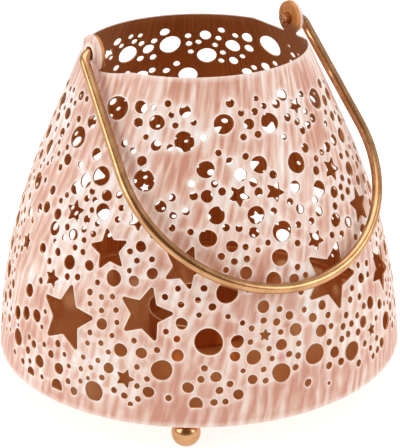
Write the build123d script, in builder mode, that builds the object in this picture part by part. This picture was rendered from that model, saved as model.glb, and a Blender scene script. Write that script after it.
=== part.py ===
"""Punched tin lantern: a bell-shaped sheet wall on ball feet, with a candle cup and a wire bail.

Frame: +Z up, origin on the ground under the centre of the base.
+X passes through one ear and -X through the other; the bail hangs down on the -Y side.
"""

import math
import os

from build123d import *

# Wall, in mm
base_radius = 78.0          # outside, at the bottom edge
rim_radius = 41.4           # outside, at the mouth
wall_height = 115.8         # bottom edge to mouth
cone_height = 35.8          # the wall is a plain cone this far down from the mouth, then bellies out
upper_lean = 24.5           # degrees from upright, on the cone
sheet = 0.8                 # thickness of the wall's sheet metal

# Ears, bent up from the rim
ear_radius = 6.5
ear_neck_width = 6.0
ear_rise = 3.6              # pivot above the mouth
ear_hole_clearance = 0.6    # the wire hangs loosely in its hole
scoop_depth = 2.4           # the rim dips this far beside each ear
scoop_half_width = 18.0
ear_root = 0.6              # the neck runs this far down into the wall

# Floor, candle cup and feet
plate_thickness = 1.0
plate_clearance = 0.1       # plate edge to wall
cup_bore_radius = 19.3      # takes a tealight 38 mm across
cup_sheet = 0.6
cup_height = 9.0
foot_radius = 5.25
foot_seat_radius = 2.0      # flat on top of each ball, brazed to the plate
foot_margin = 0.05          # ball's outside to the wall's outside
foot_count = 3
foot_first_angle = -5.0     # degrees from +X

# Bail
wire_radius = 1.9
wire_bend = 4.0             # centre line, where the wire turns in to the ear
bail_leg_offset = 4.1       # leg's centre line at the pivot, outside the ear
bail_drop = 51.5            # pivot to the centre of the bail's round end
bail_round_radius = 50.6    # centre line
stub_reach = 5.2            # wire past the inside of the ear
bail_rest_gap = 0.3         # wire to wall, where the bail rests

# Punched pattern
plain_band_bottom = 5.0     # the punched zone starts this far above the bottom edge
plain_band_top = 8.0        # and ends this far below the mouth
star_waist = 0.48           # inner over outer radius of a star
round_sides = 8             # the round holes are nibbled out with eight cuts
small_round_sides = 6       # and the small ones with six
pattern_turn = 180.0        # degrees, the layout repeats after this

# Cut-outs of one half turn: angle in degrees from +X and height as percent of the punched zone.
# A star adds its point radius and its tilt (counter-clockwise from outside, 0 has a point up).
stars = [
    (199, 27, 12.2, -5), (281, 39.5, 12.4, -29), (224, 34, 9.8, -12), (307, 31.5, 8.9, -41),
    (235, 50, 7.6, -22), (211, 53, 7.4, 14), (303.5, 56, 7.0, -9), (294, 72, 4.4, -34),
    (195.5, 62, 4.1, 2), (253, 71.5, 3.8, -35), (266, 71, 3.6, -32), (219.5, 63.5, 3.4, 46),
    (174, 44, 3.5, 0), (277.5, 53, 3.7, -37), (191.5, 38, 3.5, -5), (219, 11, 3.5, -17),
    (285.5, 95, 2.9, -40),
]
# A round hole adds its radius.
rounds = [
    (241.5, 25.5, 4.8), (186, 84, 3.9), (220, 76, 3.8), (271.5, 15.5, 3.8), (301, 94, 3.7),
    (247, 41.5, 3.7), (229, 15.5, 3.7), (210, 4, 3.7), (266, 58.5, 3.6), (277.5, 78, 3.6),
    (285, 11, 3.6), (261, 12, 3.5), (305, 12, 3.5), (203, 75, 3.5), (160, 90, 3.4), (162, 28, 3.4),
]
small_rounds = [
    (168.5, 64, 3.2), (178, 10, 3.2), (258, 65, 3.1), (245, 66, 3.0), (242, 59, 3.0),
    (264, 50.5, 3.0), (261, 43.5, 2.9), (284.5, 68, 2.9), (311, 78.5, 2.8), (188, 54, 2.6),
    (197.5, 45.5, 2.6), (253.5, 19, 2.6), (181.5, 29.5, 2.5), (181.5, 21, 2.5), (288, 56.5, 2.5),
]
# Under the mouth the layout does not repeat, and its round holes are given all the way round.
mouth_rounds = [
    (203, 96.5, 4.2), (234, 88.5, 3.5), (242, 80, 3.0), (250, 93.5, 3.4), (262, 80, 3.0),
    (270, 92, 3.4), (20, 96.5, 4.8), (41, 94, 3.0), (54, 89, 3.9), (62.5, 80, 3.8),
    (71.5, 94.5, 4.3), (83.5, 81, 3.0), (93, 92.5, 4.2),
]

# Heights above the ground
stand_height = foot_radius + math.sqrt(foot_radius**2 - foot_seat_radius**2)
mouth_z = stand_height + wall_height
pivot_z = mouth_z + ear_rise
plate_top = stand_height + plate_thickness

# Outside profile of the wall: a cone, then an arc tangent to it that ends on the bottom edge
lean = math.radians(upper_lean)
knee_radius = rim_radius + cone_height * math.tan(lean)
knee_z = mouth_z - cone_height
cone_normal = (math.cos(lean), math.sin(lean))
fall = (base_radius - knee_radius, stand_height - knee_z)
belly_radius = -(fall[0] ** 2 + fall[1] ** 2) / (2 * (fall[0] * cone_normal[0] + fall[1] * cone_normal[1]))
belly_centre = (knee_radius - belly_radius * cone_normal[0], knee_z - belly_radius * cone_normal[1])
belly_sign = math.copysign(1, belly_radius)


def wall_radius(z):
    """Outside radius of the wall at a height above the ground."""
    if z > knee_z:
        return knee_radius - (z - knee_z) * math.tan(lean)
    return belly_centre[0] + belly_sign * math.sqrt(belly_radius**2 - (z - belly_centre[1]) ** 2)


def wall_slope(z):
    """Angle of the wall from upright at a height, in radians."""
    if z > knee_z:
        return lean
    return math.asin((z - belly_centre[1]) / belly_radius)


def wall_gap(radius, z):
    """Distance of a point from the outside of the wall, positive outside."""
    off = (radius - knee_radius, z - knee_z)
    if off[1] * cone_normal[0] - off[0] * cone_normal[1] > 0:
        return off[0] * cone_normal[0] + off[1] * cone_normal[1]
    return belly_sign * math.hypot(radius - belly_centre[0], z - belly_centre[1]) - belly_radius


def inside_radius(z):
    """Inside radius of the wall at a height above the ground."""
    return wall_radius(z) - sheet / math.cos(wall_slope(z))


# Layout of the punched pattern
zone_bottom = stand_height + plain_band_bottom
zone_height = wall_height - plain_band_bottom - plain_band_top


def zone_z(percent):
    """Height above the ground of a share of the punched zone."""
    return zone_bottom + zone_height * percent / 100


def tangent_plane(angle, z):
    """Plane on the wall's outside, x along the wall to the right and z outwards."""
    turn = math.radians(angle)
    slope = wall_slope(z)
    outward = (math.cos(turn) * math.cos(slope), math.sin(turn) * math.cos(slope), math.sin(slope))
    place = (math.cos(turn) * wall_radius(z), math.sin(turn) * wall_radius(z), z)
    return Plane(origin=place, x_dir=(-math.sin(turn), math.cos(turn), 0), z_dir=outward)


def star_points(radius, tilt):
    """Corners of a five-pointed star."""
    corners = []
    for corner in range(10):
        reach = radius if corner % 2 == 0 else radius * star_waist
        turn = math.radians(90 + tilt + 36 * corner)
        corners.append((reach * math.cos(turn), reach * math.sin(turn)))
    return corners


# Wall with its ears and its punched pattern
scoop_radius = (scoop_half_width**2 + scoop_depth**2) / (2 * scoop_depth)
scoop_floor = mouth_z - scoop_depth
ear_outside = wall_radius(scoop_floor)
inner_rim = (inside_radius(mouth_z), mouth_z)
inner_knee = (knee_radius - sheet * cone_normal[0], knee_z - sheet * cone_normal[1])
inner_foot = (inside_radius(stand_height), stand_height)
largest_star = max(star[2] for star in stars)
punch_depth = 2 * sheet + largest_star**2 / (2 * rim_radius)

with BuildPart() as shell:
    with BuildSketch(Plane.XZ) as section:
        with BuildLine() as profile:
            cone_side = Line((rim_radius, mouth_z), (knee_radius, knee_z))
            belly_side = TangentArc(cone_side @ 1, (base_radius, stand_height), tangent=cone_side % 1)
            inner_cone = Line(inner_rim, inner_knee)
            TangentArc(inner_knee, inner_foot, tangent=inner_cone % 1)
            Line(inner_rim, cone_side @ 0)
            Line(inner_foot, belly_side @ 1)
        make_face()
    revolve(axis=Axis.Z)
    with BuildSketch(Plane.YZ) as scoops:
        with Locations((0, scoop_floor + scoop_radius)):
            Circle(scoop_radius)
    extrude(amount=base_radius, both=True, mode=Mode.SUBTRACT)
    with BuildSketch(Plane.YZ.offset(ear_outside - sheet)) as ear:
        with Locations((0, pivot_z)):
            Circle(ear_radius)
        with Locations((0, scoop_floor - ear_root)):
            Rectangle(ear_neck_width, pivot_z - scoop_floor, align=(Align.CENTER, Align.MIN))
        with Locations((0, pivot_z)):
            Circle(wire_radius + ear_hole_clearance, mode=Mode.SUBTRACT)
    ear_blank = extrude(amount=sheet)
    mirror(ear_blank, about=Plane.YZ)
    for angle, percent, radius, tilt in stars:
        for half in (0, pattern_turn):
            with BuildSketch(tangent_plane(angle + half, zone_z(percent))):
                Polygon(*star_points(radius, tilt), align=None)
    for angle, percent, radius in rounds:
        for half in (0, pattern_turn):
            with BuildSketch(tangent_plane(angle + half, zone_z(percent))):
                RegularPolygon(radius, round_sides)
    for angle, percent, radius in small_rounds:
        for half in (0, pattern_turn):
            with BuildSketch(tangent_plane(angle + half, zone_z(percent))):
                RegularPolygon(radius, small_round_sides)
    for angle, percent, radius in mouth_rounds:
        with BuildSketch(tangent_plane(angle, zone_z(percent))):
            RegularPolygon(radius, round_sides)
    extrude(amount=punch_depth, both=True, mode=Mode.SUBTRACT)

# Floor plate, flush with the wall's bottom edge
plate_radius = min(inside_radius(stand_height), inside_radius(plate_top)) - plate_clearance

with BuildPart() as base_plate:
    with BuildSketch(Plane.XY.offset(stand_height)) as plate_outline:
        Circle(plate_radius)
    extrude(amount=plate_thickness)

# Candle cup, standing on the plate
with BuildPart() as tealight_cup:
    with BuildSketch(Plane.XY.offset(plate_top)) as cup_outline:
        Circle(cup_bore_radius + cup_sheet)
    extrude(amount=cup_height)
    with BuildSketch(Plane.XY.offset(plate_top + cup_sheet)) as cup_inside:
        Circle(cup_bore_radius)
    extrude(amount=cup_height, mode=Mode.SUBTRACT)

# Bail: a wire bent in one plane, swung down in front until it meets the wall
leg_start = ear_outside + bail_leg_offset
leg_reach = math.hypot(leg_start, bail_drop)
leg_turn = math.asin(bail_round_radius / leg_reach) - math.atan2(leg_start, bail_drop)
leg_end = (bail_round_radius * math.cos(leg_turn), bail_drop - bail_round_radius * math.sin(leg_turn))
bail_length = bail_drop + bail_round_radius


def bail_clearance(swing):
    """Least distance from the wire to the wall with the bail this far from hanging straight down."""
    least = bail_length
    steps = 120
    for step in range(steps + 1):
        turn = math.pi / 2 * step / steps
        across = bail_round_radius * math.cos(turn)
        down = bail_drop + bail_round_radius * math.sin(turn)
        share = step / steps
        leg_across = leg_start + (leg_end[0] - leg_start) * share
        leg_down = leg_end[1] * share
        for side, drop in ((across, down), (leg_across, leg_down)):
            height = pivot_z - drop * math.cos(swing)
            radius = math.hypot(side, drop * math.sin(swing))
            if stand_height < height < mouth_z:
                least = min(least, wall_gap(radius, height) - wire_radius)
    return least


bail_low = 0.0
bail_high = math.pi / 2
for halving in range(40):
    bail_swing = (bail_low + bail_high) / 2
    if bail_clearance(bail_swing) > bail_rest_gap:
        bail_high = bail_swing
    else:
        bail_low = bail_swing

bail_plane = Plane(
    origin=(0, 0, pivot_z),
    x_dir=(1, 0, 0),
    z_dir=(0, math.cos(bail_swing), -math.sin(bail_swing)),
)
stub_end = ear_outside - sheet - stub_reach

with BuildPart() as bail:
    with BuildLine(bail_plane) as route:
        FilletPolyline((stub_end, 0), (leg_start, 0), leg_end, radius=wire_bend)
        ThreePointArc(leg_end, (0, bail_length), (-leg_end[0], leg_end[1]))
        FilletPolyline((-leg_end[0], leg_end[1]), (-leg_start, 0), (-stub_end, 0), radius=wire_bend)
    with BuildSketch(Plane(origin=(stub_end, 0, pivot_z), z_dir=(1, 0, 0))) as wire_section:
        Circle(wire_radius)
    sweep()

print("bail swing from hanging straight, degrees:", round(math.degrees(bail_swing), 3))
print("pivot height:", round(pivot_z, 3), "stand height:", round(stand_height, 3))
print("cut-outs:", 2 * (len(stars) + len(rounds) + len(small_rounds)) + len(mouth_rounds))

os.makedirs("parts", exist_ok=True)
pieces = {"shell": shell, "base_plate": base_plate, "tealight_cup": tealight_cup, "bail": bail}
for name, piece in pieces.items():
    piece.part.label = name
    export_step(piece.part, f"parts/{name}.step")

# Ball feet under the plate
for number in range(foot_count):
    turn = math.radians(foot_first_angle + 360 * number / foot_count)
    reach = base_radius - foot_margin - foot_radius
    with BuildPart() as foot:
        with Locations((reach * math.cos(turn), reach * math.sin(turn), foot_radius)):
            Sphere(foot_radius)
        split(bisect_by=Plane.XY.offset(stand_height), keep=Keep.BOTTOM)
    foot.part.label = f"foot_{number + 1}"
    export_step(foot.part, f"parts/foot_{number + 1}.step")
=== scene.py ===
import random
from math import acos, asin, atan2, cos, degrees, hypot, pi, radians, sin, sqrt, tan

import bpy
import numpy as np
from mathutils import Matrix, Vector
from mathutils.geometry import delaunay_2d_cdt
from numpy.linalg import norm


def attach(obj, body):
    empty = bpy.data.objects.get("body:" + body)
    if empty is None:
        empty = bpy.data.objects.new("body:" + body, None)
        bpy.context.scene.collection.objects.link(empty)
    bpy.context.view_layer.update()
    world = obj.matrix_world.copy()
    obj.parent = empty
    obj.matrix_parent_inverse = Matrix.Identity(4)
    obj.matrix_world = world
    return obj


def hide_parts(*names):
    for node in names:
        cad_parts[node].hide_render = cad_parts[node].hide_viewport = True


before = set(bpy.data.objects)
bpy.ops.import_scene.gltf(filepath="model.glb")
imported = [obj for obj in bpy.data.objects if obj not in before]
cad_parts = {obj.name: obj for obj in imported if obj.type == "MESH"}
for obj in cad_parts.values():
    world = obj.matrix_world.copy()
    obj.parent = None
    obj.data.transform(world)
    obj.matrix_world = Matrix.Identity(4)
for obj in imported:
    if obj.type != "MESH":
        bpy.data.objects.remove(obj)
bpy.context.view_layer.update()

# Sizes are in mm; meshes are scaled to metres as they are made
MM = 0.001
full_turn = 2 * pi

# Wall, as the solid has it
base_radius = 78.0
rim_radius = 41.4
wall_height = 115.8
cone_height = 35.8  # a plain cone this far down from the mouth, then a belly
lean = radians(24.5)  # of the cone, from upright
scoop_depth = 2.4  # the rim dips this far beside each ear
scoop_half_width = 18.0
solid_sheet = 0.8

# Sheet of the wall in the look
wall_sheet = 0.45
wall_sink = 0.05  # its outside lies this far inside the solid's
edge_round = 0.25  # its free edges bulge by this much
seam = radians(146)  # where its two ends meet
seam_margin = 3.0  # cut-outs of the look only keep this far from the seam
seam_steps = 64
flat_radius = 64.0  # it is laid out flat at this radius
outer_spacing = 1.9  # of the loose points on the outside
outer_clear = 1.7  # they keep this far from a cut-out
inner_spacing = 4.0  # and the same on the inside
inner_clear = 2.2
grid_shift = 0.2  # they are moved at random by this share of their spacing
grid_margin = 0.6  # and keep this share of it from the sheet's edges
grid_start = 0.3
same_point = 1e-7
rim_steps = 200
bottom_steps = 240
wall_crease = 50  # degrees, sharper edges are shaded as creases

# Ears
ear_radius = 6.5
ear_neck_half = 3.0
ear_neck_margin = 0.5  # points of the plain rim keep this far from the neck
ear_rise = 3.6  # pivot above the mouth
ear_steps = 30
ear_hole_radius = 2.2
ear_hole_sides = 24
ear_sheet = 2.6  # the ears look thicker than the wall, with a rounded edge
ear_proud = 0.9  # and stand out by this much
ear_collar = 2.2  # width of the raised ring round the ear's hole
ear_collar_lift = 0.5
ear_blend_drop = 0.6  # the wall starts to flatten to an ear this far below the scoop's floor
ear_blend_rise = 3.6  # and is flat this far above that
ear_blend_half_width = 11.0  # the flat part ends this far from the ear's middle
ear_blend_fade = 3.0

# Floor plate
plate_radius = 77.2
plate_thickness = 1.0
plate_edge_round = 0.8
plate_under_ring = 30.0  # rings of points on its flat faces
plate_top_rings = (50.0, 25.0)
flange_height = 2.0
flange_sheet = 0.8
flange_fillet = 0.6
plate_sides = 160

# Candle cup
cup_bore_radius = 19.3
cup_sheet = 0.6
cup_height = 9.0
cup_edge_round = 0.5
cup_floor_round = 1.0
cup_bead_radius = 0.55  # of the rolled rim
cup_bead_inset = 0.1
cup_bead_drop = 1.0  # the rolled rim starts this far below the top
cup_sides = 96

# Ball feet
foot_count = 3
foot_radius = 5.25
foot_seat_radius = 2.0
foot_margin = 0.05  # ball's outside to the wall's outside
foot_first_angle = -5.0  # degrees from +X
foot_neck_radius = 2.5  # the ball ends here, in a low collar of braze
braze_radius = 3.3
braze_slope = 0.3
braze_height = 0.12
foot_start = -86  # degrees, where the ball's lowest ring is
foot_rings = 26
foot_sides = 56
turned_crease = 35  # degrees

# Bail
wire_radius = 1.9
wire_bend = 4.0  # centre line, where the wire turns in to the ear
wire_end_trim = 0.35  # chamfer of the wire's two ends
wire_sides = 28
wire_crease = 40  # degrees
right_stub_reach = 4.0  # wire past the inside of the ear
left_stub_reach = 1.2
bail_leg_offset = 4.1  # leg's centre line at the pivot, outside the ear
bail_drop = 51.5  # pivot to the centre of the bail's round end
bail_round_radius = 50.6
bail_swing = radians(44.909)  # from hanging straight down, at rest on the wall
stub_steps = 5
bend_steps = 10
leg_steps = 12
round_steps = 44

# Punched zone and its cut-outs
plain_band_bottom = 5.0  # the punched zone starts this far above the bottom edge
plain_band_top = 8.0  # and ends this far below the mouth
zone_foot_angles = (200, 238)  # degrees, over which the zone's straight lower edge runs up
zone_foot_percents = (0.0, 2.5)  # percent of the punched zone
zone_top_percent = 102  # its straight upper edge
pattern_turn = 180.0  # degrees, the layout repeats after this
least_web = 0.5  # sheet left between two cut-outs
star_corners = 10
star_waist = 0.48  # inner over outer radius of a star
star_step = 1.3  # between two points of its outline
star_lip = (0.4, 0.03)  # width of the lip: at no radius, and more per mm of radius
star_lift = 0.22  # height of the lip
tip_round = (0.1, 0.05)  # radius of the star's tips: at no radius, and more per mm of radius
waist_round = 1.4  # radius of its inner corners over the lip's width
bend_points = 4  # points of each rounded corner
round_lip = (0.34, 0.1)
round_lip_limit = 4.0  # a larger hole's lip is as wide as at this radius
round_lift = (0.1, 0.03)
round_sides = (6, 5)  # sides of a round hole: at no radius, and more per mm of radius
fewest_sides = 9
most_sides = 28
oval_share = 0.035  # how far a round hole is oval
lobe_share = 0.02  # and three-lobed
phase_range = 6.3  # radians, either is turned at random by up to this
lip_share = 0.3  # of the sheet between two cut-outs, the most that a lip takes
lip_reach = 2.0  # cut-outs further apart than this keep their full lips
halo_width = 3.0  # the wash is paler this far round each cut-out
# Rings of a lip, from the sheet in to the hole: share of its width, share of its height, how pale it is
lip_rings = ((1.0, 0.0, 0.0), (0.62, 1.0, 1.0), (0.2, 0.9, 1.0), (0.0, -0.3, 1.0))
plain_edge_pale = 0.8  # how pale the free edges are
ear_edge_pale = 0.3
ear_back_pale = 0.2

# Camera of the photograph, in mm and degrees; the image is 400 x 448
image_width = 400
image_height = 448
camera_place = (-282.6, -470.0, 287.6)
camera_tilt = 66.94
camera_turn = -31.1
camera_roll = -0.62
camera_lens = 124.6
camera_sensor = 36.0
sight_range = (430, 720)  # mm from the camera, where a sight line may meet the wall
sight_steps = 4500
profile_steps = 400
beyond_profile = -1e6  # radius given to heights above or below the wall

# Cut-outs that the solids have too: degrees from +X, percent of the punched zone, radius, tilt
stars = [
    (199, 27, 12.2, -5), (281, 39.5, 12.4, -29), (224, 34, 9.8, -12), (307, 31.5, 8.9, -41),
    (235, 50, 7.6, -22), (211, 53, 7.4, 14), (303.5, 56, 7.0, -9), (294, 72, 4.4, -34),
    (195.5, 62, 4.1, 2), (253, 71.5, 3.8, -35), (266, 71, 3.6, -32), (219.5, 63.5, 3.4, 46),
    (174, 44, 3.5, 0), (277.5, 53, 3.7, -37), (191.5, 38, 3.5, -5), (219, 11, 3.5, -17),
    (285.5, 95, 2.9, -40),
]
rounds = [
    (241.5, 25.5, 4.8), (186, 84, 3.9), (220, 76, 3.8), (271.5, 15.5, 3.8), (301, 94, 3.7),
    (247, 41.5, 3.7), (229, 15.5, 3.7), (210, 4, 3.7), (266, 58.5, 3.6), (277.5, 78, 3.6),
    (285, 11, 3.6), (261, 12, 3.5), (305, 12, 3.5), (203, 75, 3.5), (160, 90, 3.4), (162, 28, 3.4),
    (168.5, 64, 3.2), (178, 10, 3.2), (258, 65, 3.1), (245, 66, 3.0), (242, 59, 3.0),
    (264, 50.5, 3.0), (261, 43.5, 2.9), (284.5, 68, 2.9), (311, 78.5, 2.8), (188, 54, 2.6),
    (197.5, 45.5, 2.6), (253.5, 19, 2.6), (181.5, 29.5, 2.5), (181.5, 21, 2.5), (288, 56.5, 2.5),
]
mouth_rounds = [
    (203, 96.5, 4.2), (234, 88.5, 3.5), (242, 80, 3.0), (250, 93.5, 3.4), (262, 80, 3.0),
    (270, 92, 3.4), (20, 96.5, 4.8), (41, 94, 3.0), (54, 89, 3.9), (62.5, 80, 3.8),
    (71.5, 94.5, 4.3), (83.5, 81, 3.0), (93, 92.5, 4.2),
]
# Smaller cut-outs, in the look only
small_stars = [(295, 14, 2.5, 0), (257, 26, 2.2, -10)]
# Smaller holes seen in the photograph, in the look only: image x, y and radius in pixels, read off the image
seen_upper_left = [
    (141, 107, 5.5), (157, 122.6, 6.6), (185, 111.4, 5), (138.4, 122.6, 4), (156, 145.6, 4.4),
    (142, 161, 4.4), (92, 121.6, 5.3), (96.6, 154, 5), (68, 159.4, 5), (68, 113.6, 5), (58.4, 116.6, 6),
    (50, 147, 6.5), (86, 180.6, 6), (76, 188, 5.5), (107, 195.6, 5), (103, 211.4, 7), (58, 214, 4.8),
    (73.4, 234.6, 5), (160.6, 206.6, 5), (153.6, 107.6, 2.4), (168, 103.6, 2.8), (171.4, 115, 2.4),
    (193.6, 122.4, 2.6), (175.4, 125.6, 2.5), (146, 137, 2.3), (124, 143.6, 3), (133, 150.6, 2.6),
    (170, 147.6, 2.8), (108, 145, 2.4), (79, 119, 2.8), (68.4, 125.4, 2.2), (62.6, 132.4, 4), (87, 99, 2.4),
    (81.4, 95.6, 4), (74, 90, 2.2), (75.2, 103, 2.2), (67.4, 147.4, 2.4), (59.4, 142, 2.2),
    (59, 153.6, 2.4), (52.6, 159, 2.4), (60.6, 167.4, 2.8), (80.4, 164.4, 2.6), (45.6, 180, 2.4),
    (53, 190, 4), (61, 200.6, 2.4), (40, 208, 4), (47, 207, 5), (67, 195, 2.4), (92.4, 191.4, 2.8),
    (87, 198.6, 2.8), (95, 200, 2.6), (92, 210, 2.4), (97.4, 223.6, 2.5), (87, 219.4, 3.4),
    (84, 229.4, 2.8), (93.4, 234, 2.8), (84.2, 240, 2.4), (64, 237.4, 2.2), (55, 241, 2), (67.4, 227, 2.8),
    (83, 252, 2.6), (75, 247.4, 2.6), (58, 252, 3.4), (43, 248, 4.5), (22, 248.6, 3.4), (33, 220, 2.8),
    (25, 210, 3), (30, 196, 3), (120.6, 180.4, 2.5), (117, 169, 2.5), (119.4, 195, 3), (131, 200, 2.5),
    (121.4, 208, 2.6), (117.6, 219.6, 2.6), (153, 235.4, 2.5), (172, 197.6, 3.2), (173, 215.6, 3),
    (186, 211.4, 3.2), (191.6, 183.6, 2.8), (193.6, 196, 3.6), (172, 228, 2.8), (190.6, 232, 2.6),
    (164, 243, 4), (130, 251.4, 2.5),
]
seen_lower_left = [
    (102, 324, 5), (74, 391, 3.6), (59, 368.4, 5), (39.6, 361.2, 5.6), (108.6, 368, 4.6), (120.6, 350, 6),
    (141.4, 353, 4.8), (148.4, 392, 5), (37, 315.6, 5.6), (31, 372, 5), (89.4, 265.4, 4.5), (134, 281, 4.6),
    (152.4, 273.6, 4.8), (141, 246.6, 4.6), (181.6, 323.6, 5), (188, 387.6, 4.8), (177.6, 355.4, 5.3),
    (113.9, 278, 7), (57, 386, 6.5), (196, 404, 6), (18, 312.4, 6), (90, 292, 2.8), (90, 303.6, 2.2),
    (101.6, 297, 2.4), (112.6, 296.6, 2.4), (101.6, 310.4, 2.4), (116, 310, 2.4), (117, 322.4, 2.2),
    (90, 332.4, 2.4), (87.6, 343, 2.2), (101, 343, 2.4), (112, 335.6, 2.2), (134, 340.6, 2.4),
    (108.4, 352, 2.2), (98, 360.4, 2.2), (91, 367.4, 2.2), (81, 368.6, 2.2), (88, 378, 2.2),
    (102, 377.4, 2.4), (83.4, 357, 2.2), (69, 366, 2), (58, 343.6, 3.2), (44.4, 344.4, 2.4), (34, 344, 3.4),
    (51, 354, 3.4), (64.6, 354.4, 2), (29.4, 337, 2.4), (28, 350, 3.4), (42, 327, 2), (45.4, 311.6, 2),
    (41, 280.6, 2.8), (49.6, 261, 2.8), (67.4, 276.6, 2.8), (77.6, 277, 2.8), (97.6, 282.4, 2.4),
    (129.4, 270.6, 2.2), (137, 260.6, 2.4), (152, 259.4, 2.4), (178, 288.6, 2.4), (165, 297, 2.6),
    (181, 304.6, 2.6), (198, 300, 2.4), (199, 315, 2.2), (166, 331.6, 2.4), (177, 339, 2.8),
    (157, 350, 2.6), (137, 367, 2.4), (147, 379, 2.4), (137, 386, 2.4), (114, 390, 2.6),
    (124.4, 395.6, 2.8), (138, 399, 2.6), (130.4, 404, 2.2), (168.6, 398, 2.7), (80.6, 381, 2.1),
    (68.2, 381, 2.6), (42, 376.8, 2.1), (18.4, 325, 2.4), (23, 361, 2.8), (30, 361, 2.4), (15, 352, 2.6),
]
seen_upper_right = [
    (249, 124, 4.6), (241, 174.6, 5.4), (295, 186.6, 5), (273, 174.6, 3.4), (305, 148, 4), (300, 209, 4.2),
    (254, 232.4, 4.7), (232, 246.4, 5), (258.6, 192, 3.8), (253.4, 182.4, 3.8), (207, 196.4, 5.4),
    (222, 191.6, 3.3), (327, 147, 4.6), (333.6, 140, 5), (349, 169, 6.5), (348, 222, 5), (363, 231, 6),
    (319, 211.6, 4), (311.4, 221, 3), (316, 170.6, 3.8), (334, 192, 5), (332, 116, 4.4), (312.6, 118, 4),
    (297, 122, 3), (302.4, 130.4, 3.2), (308, 125, 3.4), (282, 95, 5), (276, 104, 4.6), (301, 94, 2.8),
    (287.4, 117.4, 3.4), (230, 103.4, 3.5), (256, 98.6, 2.2), (263.6, 106, 2.6), (254.6, 111.6, 3),
    (241, 113, 2.8), (243.4, 137, 2.8), (258, 134.4, 3), (284, 137, 2.4), (203.6, 137, 3),
    (218.4, 153, 2.6), (229.6, 161, 3), (245.6, 156.4, 2.8), (214.4, 184, 3), (290, 201.6, 3),
    (273.6, 211, 3), (226, 227.6, 3.2), (239, 228.4, 3), (298.4, 224.6, 2.8), (297.6, 243, 2.8),
    (268, 242.6, 2.4), (245.6, 247, 2.6), (258, 250, 2.2), (221.4, 256.4, 3), (247, 259, 2.8),
    (305.4, 111.6, 2.6), (325.6, 123.6, 2.5), (321.6, 152.4, 2.8), (316, 158.6, 2.8), (347, 154, 3.5),
    (341, 156, 3), (354, 146, 4), (342, 178, 3), (349, 181.6, 3), (340.6, 187, 3), (347.6, 191, 3.5),
    (342.4, 197.4, 3), (335, 206, 3.2), (315, 200, 3), (332, 235, 2.8), (341.6, 234, 3), (355.6, 237, 3),
    (370, 203, 4), (363.6, 178, 4.5),
]
seen_lower_right = [
    (263.4, 306.6, 5.4), (246, 273, 5.5), (294, 279, 4.6), (212.4, 307, 3.2), (204, 288.4, 2.8),
    (295.6, 329.4, 5.6), (321, 330.6, 5.6), (312.6, 317.6, 4), (289.4, 315.4, 3.6), (276.6, 322, 3.2),
    (281.4, 344.6, 5), (237.4, 341.4, 5.6), (235, 356.4, 4.4), (334.6, 352, 5), (322, 305, 4),
    (370, 302.6, 5.6), (363, 321.6, 5), (379.4, 304, 4.5), (216, 377, 4.6), (252.6, 379.4, 4.2),
    (238.4, 394.4, 4.5), (219.4, 390.4, 3.2), (214, 402.4, 3), (225.4, 401.6, 2.6), (230, 384, 2.8),
    (201, 379.4, 3), (263.6, 369.4, 2.4), (265.6, 380.6, 2.5), (295.6, 367.2, 2.8), (308, 382.6, 3.3),
    (329, 383, 1.5), (329, 365.4, 3.2), (341, 361.4, 3.4), (358.6, 363, 3), (243, 370.8, 2.1),
    (204.4, 368.4, 2.8), (250.4, 342, 2.4), (251.6, 328.4, 2.5), (242.6, 323, 2.2), (228, 316.6, 2.2),
    (279.4, 309, 2.6), (263.6, 320.4, 2.7), (280.6, 332, 2.4), (269, 348.6, 2.3), (272, 358.4, 2.3),
    (289, 354, 2.8), (298, 355.6, 2.8), (298.6, 343.4, 2.5), (304, 309.6, 2.4), (328, 315, 2.8),
    (331, 326, 2.6), (329, 342, 2.9), (341.6, 339, 2.9), (348, 334, 2.8), (343, 326.4, 3),
    (351.4, 323.6, 2.9), (358, 332, 3.2), (357, 315.4, 2.7), (346, 315, 2.9), (363.6, 306, 2.9),
    (359.4, 296.6, 2.8), (350, 299.6, 2.8), (352, 288, 2.8), (361, 278, 4.4), (366.4, 263, 2.8),
    (367.6, 274.4, 2.6), (358, 265, 2.6), (364.6, 343.4, 2.8), (370.4, 348, 2.6), (377.4, 349.6, 3),
    (376.6, 338, 2.8), (381.6, 342.4, 4.4), (373, 356, 2.6), (376, 318, 2.6), (390, 306, 4),
    (394, 338, 4.4), (297.4, 267, 2.7), (305.6, 275, 2.5), (234.4, 261.6, 2.8), (212, 276, 2.4),
    (226, 270, 2.4), (248, 289.6, 2.6), (301, 291.6, 2.6),
]
# Holes of the far wall, seen through the mouth
far_holes = [
    (152.8, 56.5, 3), (140, 58, 3.1), (154, 40.5, 2.9), (141.2, 43, 2.7), (140, 35, 2.3),
    (130.5, 36.2, 2.4), (134, 41, 2.6), (121, 45.5, 2.4), (110.5, 57.5, 2.6), (102.2, 65, 2.4),
    (115.8, 67.5, 3), (126.8, 72.8, 2.6), (152, 69.8, 3.1), (166.2, 70, 3), (176.5, 63, 2.9),
    (188, 35.2, 2.7), (189, 43, 2.7), (190.8, 51, 2.4), (198.5, 41.3, 2.5), (218.6, 37.6, 2.6),
    (215.2, 44.4, 2.4), (223, 52, 2.5), (221.5, 60, 2.5), (235.5, 35, 2.6), (242.7, 55.8, 2.4),
    (275.5, 63, 2.6), (254.3, 67, 2.7), (289.6, 45.6, 1.6), (293.5, 54.5, 2.9), (299, 54, 1.7),
    (292, 61.5, 2.4), (148, 48.5, 5), (164.5, 31.5, 4.2), (117, 41.5, 4), (205.5, 34.5, 5),
    (221.5, 29.5, 3), (247.5, 37, 5), (249.3, 47.8, 4), (233.8, 60, 4), (266, 66, 4.2), (247.5, 71.5, 4.6),
]
far_view = (15, 115)  # degrees, the part of the far wall that is seen through the mouth
far_view_low = 77  # percent of the punched zone, from here up
seen_growth = 1.12  # a hole's edge is lighter than its middle, so it is larger than it looks
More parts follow.
